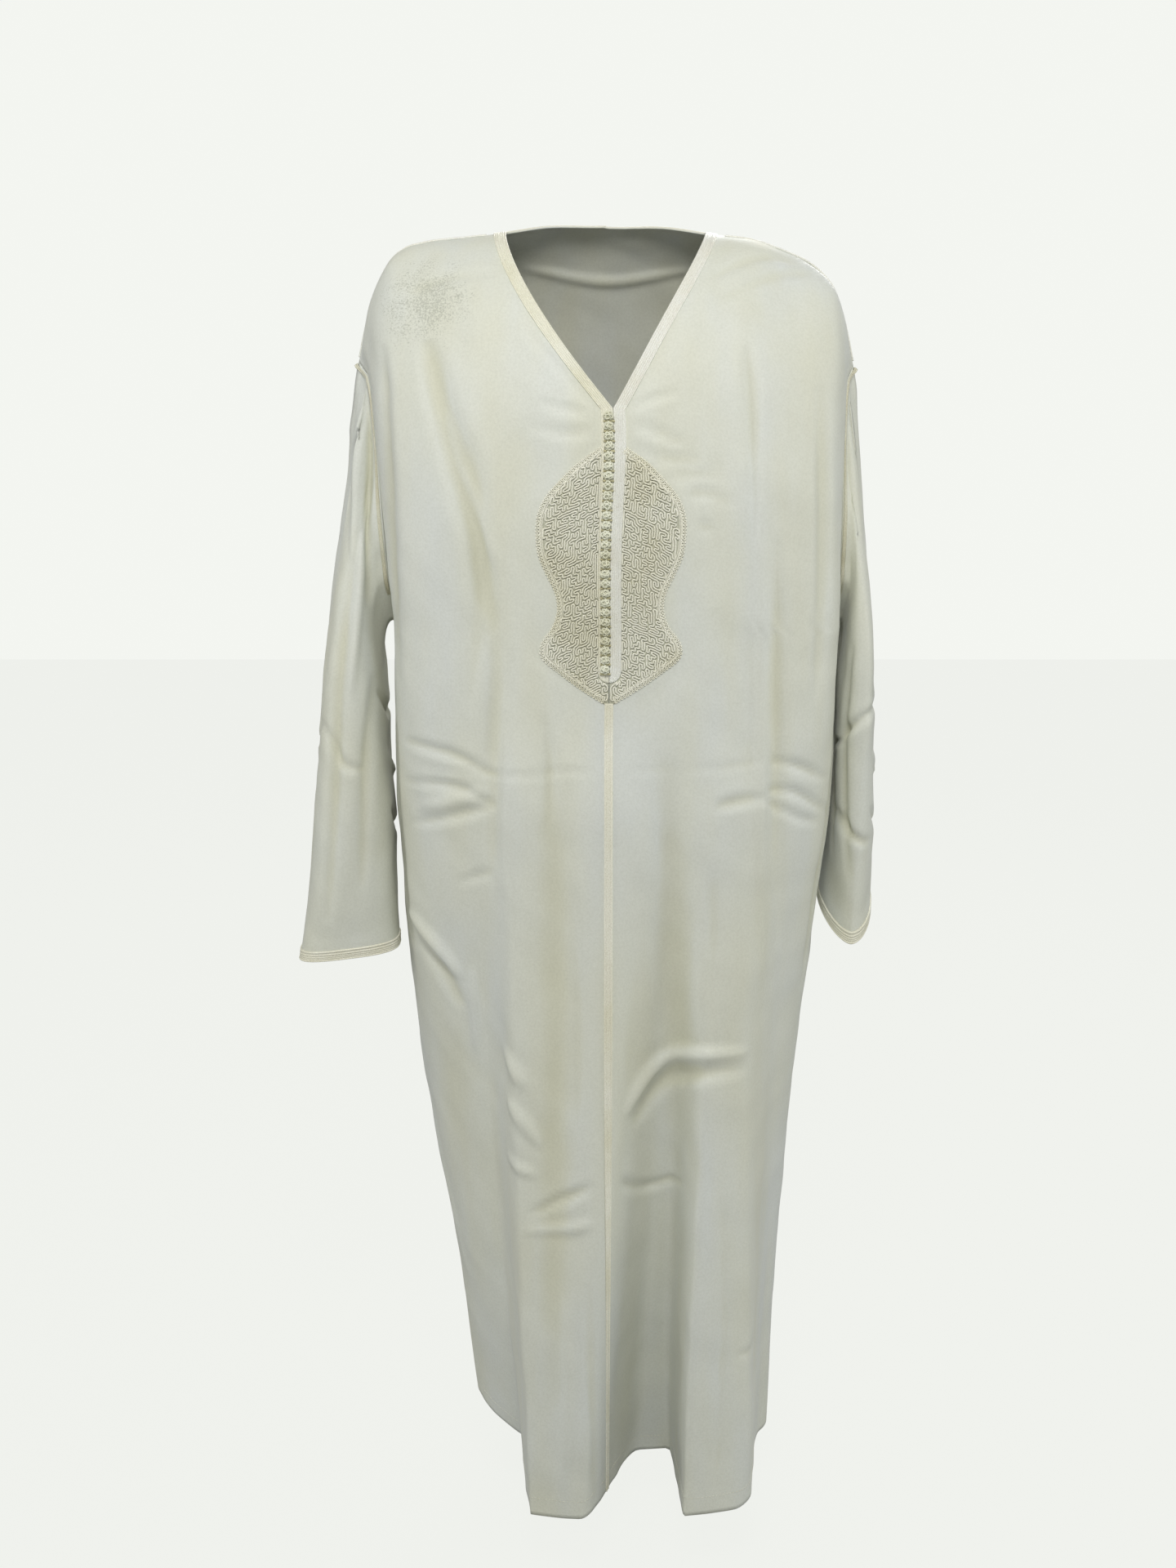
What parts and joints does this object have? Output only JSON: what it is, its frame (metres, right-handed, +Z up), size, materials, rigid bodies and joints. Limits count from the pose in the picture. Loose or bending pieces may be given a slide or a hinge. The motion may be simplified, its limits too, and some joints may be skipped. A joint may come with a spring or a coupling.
{
  "type": "djellaba robe",
  "caption": "Long collarless robe in its worn, hollow form, with a braided V neck, a knotted front opening over a corded chest field, hanging sleeves, deep hem folds and open side slits",
  "frame": {"origin": "between the shoulders, at the height of the shoulder seam beside the neck", "axes": "+Z up towards the neck, front of the robe towards -Y, +X to the right of someone who looks at the front"},
  "size_m": [0.6382, 0.4142, 1.3715],
  "materials": {
    "robe_cloth": "cream satin-backed crepe, soft sheen",
    "braid_thread": "cream rayon braid and cord, satin sheen"
  },
  "bodies": {
    "root": {"front_left": "robe_cloth", "front_right": "robe_cloth", "back": "robe_cloth", "sleeve_left": "robe_cloth", "sleeve_right": "robe_cloth", "opening_braid_left": "braid_thread", "opening_braid_right": "braid_thread", "neck_braid_back": "braid_thread", "centre_braid": "braid_thread", "plastron_left": "braid_thread", "plastron_right": "braid_thread", "armhole_braid_left": "braid_thread", "armhole_braid_right": "braid_thread", "cuff_braid_left": "braid_thread", "cuff_braid_right": "braid_thread", "knot_01": "braid_thread", "knot_02": "braid_thread", "knot_03": "braid_thread", "knot_04": "braid_thread", "knot_05": "braid_thread", "knot_06": "braid_thread", "knot_07": "braid_thread", "knot_08": "braid_thread", "knot_09": "braid_thread", "knot_10": "braid_thread", "knot_11": "braid_thread", "knot_12": "braid_thread", "knot_13": "braid_thread", "knot_14": "braid_thread", "knot_15": "braid_thread", "knot_16": "braid_thread", "knot_17": "braid_thread", "knot_18": "braid_thread", "knot_19": "braid_thread", "knot_20": "braid_thread", "knot_21": "braid_thread", "knot_22": "braid_thread", "knot_23": "braid_thread", "knot_24": "braid_thread", "knot_25": "braid_thread", "knot_26": "braid_thread", "knot_27": "braid_thread"}
  },
  "joints": []
}
